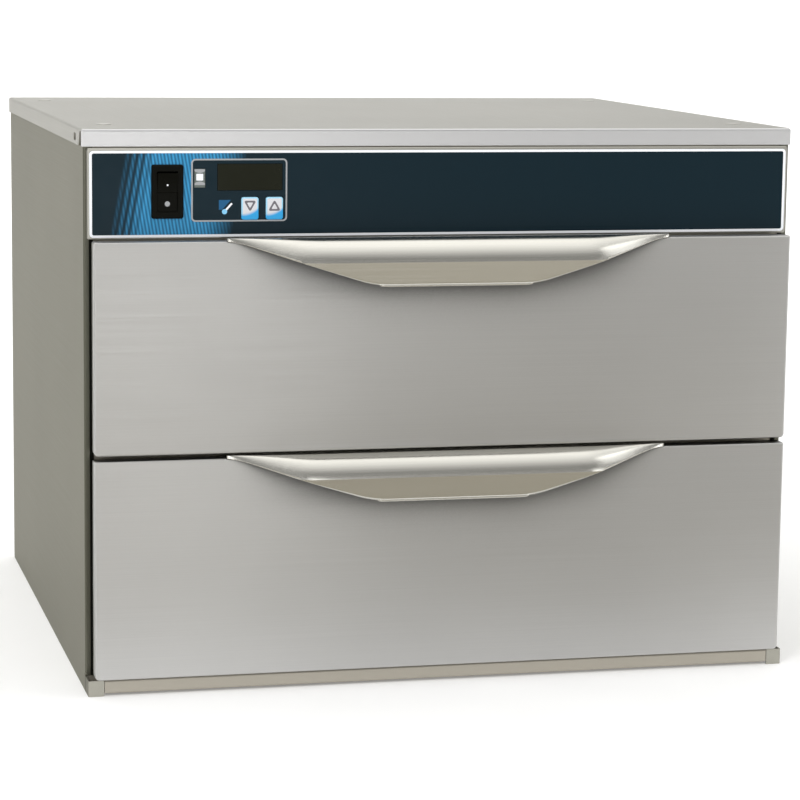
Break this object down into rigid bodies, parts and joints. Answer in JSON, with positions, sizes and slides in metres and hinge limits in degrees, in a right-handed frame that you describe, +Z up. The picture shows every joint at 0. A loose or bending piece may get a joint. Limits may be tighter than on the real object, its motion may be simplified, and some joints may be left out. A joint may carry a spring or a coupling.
{
  "type": "countertop warming drawer",
  "caption": "Free-standing stainless steel food warmer with two stacked pull-out pan drawers, formed pulls on roller slides and a dark control strip above them.",
  "frame": {"origin": "on the floor plane, midway between the tips of the drawer pulls and of the rear cord gland, on the cabinet's middle plane", "axes": "+Z up, drawers open towards -Y, +X to the right of a person facing the drawers"},
  "size_m": [0.624, 0.643, 0.478],
  "materials": {
    "base_steel": "satin",
    "black_plastic": "matte",
    "cabinet_steel": "satin",
    "cable_jacket": "matte",
    "cream_plastic": "matte",
    "dark_window": "gloss",
    "drawer_steel": "satin",
    "fixing_steel": "satin",
    "glass_wool": "matte",
    "inner_steel": "satin",
    "lamp_lens": "satin",
    "nylon": "matte",
    "pale_key": "satin",
    "pan_steel": "polished",
    "printed_film": "satin",
    "sensor_steel": "satin",
    "slide_steel": "satin"
  },
  "bodies": {
    "cabinet": {"air_sensor": "sensor_steel", "back_insulation": "glass_wool", "back_panel": "base_steel", "back_panel_screws": "fixing_steel", "base_insulation": "glass_wool", "base_pan": "base_steel", "control_bezel": "cabinet_steel", "control_overlay": "printed_film", "controller_module": "black_plastic", "cord_gland": "black_plastic", "display_window": "dark_window", "divider_insulation": "glass_wool", "electrics_tray": "base_steel", "front_frame": "base_steel", "front_sill": "base_steel", "indicator_lens": "lamp_lens", "left_side_panel": "cabinet_steel", "lower_heating_cable": "cable_jacket", "lower_left_channel": "slide_steel", "lower_liner": "inner_steel", "lower_right_channel": "slide_steel", "relay": "black_plastic", "right_side_panel": "cabinet_steel", "side_insulation": "glass_wool", "switch_housing": "black_plastic", "terminal_block": "cream_plastic", "top_cover": "cabinet_steel", "top_hole_plugs": "fixing_steel", "top_insulation": "glass_wool", "upper_heating_cable": "cable_jacket", "upper_left_channel": "slide_steel", "upper_liner": "inner_steel", "upper_right_channel": "slide_steel"},
    "key_down": {"key_down": "pale_key"},
    "key_up": {"key_up": "pale_key"},
    "lower_drawer": {"lower_drawer_backing": "inner_steel", "lower_drawer_face": "drawer_steel", "lower_drawer_insulation": "glass_wool", "lower_left_runner": "slide_steel", "lower_pan": "pan_steel", "lower_pan_frame": "inner_steel", "lower_pull": "drawer_steel", "lower_right_runner": "slide_steel"},
    "lower_front_rollers": {"lower_front_rollers": "nylon"},
    "lower_rear_rollers": {"lower_rear_rollers": "nylon"},
    "rocker": {"rocker_switch": "black_plastic"},
    "upper_drawer": {"upper_drawer_backing": "inner_steel", "upper_drawer_face": "drawer_steel", "upper_drawer_insulation": "glass_wool", "upper_left_runner": "slide_steel", "upper_pan": "pan_steel", "upper_pan_frame": "inner_steel", "upper_pull": "drawer_steel", "upper_right_runner": "slide_steel"},
    "upper_front_rollers": {"upper_front_rollers": "nylon"},
    "upper_rear_rollers": {"upper_rear_rollers": "nylon"}
  },
  "joints": [
    {"name": "lower_drawer_slide", "type": "slide", "parent": "cabinet", "child": "lower_drawer", "axis": [0, -1, 0], "range_m": [0, 0.38]},
    {"name": "lower_front_roller_spin", "type": "hinge", "parent": "cabinet", "child": "lower_front_rollers", "pos_m": [0, -0.2463, 0.1572], "axis": [1, 0, 0], "continuous": true},
    {"name": "lower_rear_roller_spin", "type": "hinge", "parent": "lower_drawer", "child": "lower_rear_rollers", "pos_m": [0, 0.1583, 0.1537], "axis": [1, 0, 0], "continuous": true},
    {"name": "upper_drawer_slide", "type": "slide", "parent": "cabinet", "child": "upper_drawer", "axis": [0, -1, 0], "range_m": [0, 0.38]},
    {"name": "upper_front_roller_spin", "type": "hinge", "parent": "cabinet", "child": "upper_front_rollers", "pos_m": [0, -0.2463, 0.3372], "axis": [1, 0, 0], "continuous": true},
    {"name": "upper_rear_roller_spin", "type": "hinge", "parent": "upper_drawer", "child": "upper_rear_rollers", "pos_m": [0, 0.1583, 0.3337], "axis": [1, 0, 0], "continuous": true},
    {"name": "rocker_tilt", "type": "hinge", "parent": "cabinet", "child": "rocker", "pos_m": [-0.241, -0.2734, 0.4253], "axis": [1, 0, 0], "range_deg": [-14, 0]},
    {"name": "key_down_press", "type": "slide", "parent": "cabinet", "child": "key_down", "axis": [0, 1, 0], "range_m": [0, 0.0006], "stiffness_N_per_m": 2000},
    {"name": "key_up_press", "type": "slide", "parent": "cabinet", "child": "key_up", "axis": [0, 1, 0], "range_m": [0, 0.0006], "stiffness_N_per_m": 2000}
  ],
  "couplings": [
    {"joint": "lower_front_roller_spin", "follows": "lower_drawer_slide", "rad_per_m": 100},
    {"joint": "lower_rear_roller_spin", "follows": "lower_drawer_slide", "rad_per_m": 100},
    {"joint": "upper_front_roller_spin", "follows": "upper_drawer_slide", "rad_per_m": 100},
    {"joint": "upper_rear_roller_spin", "follows": "upper_drawer_slide", "rad_per_m": 100}
  ]
}
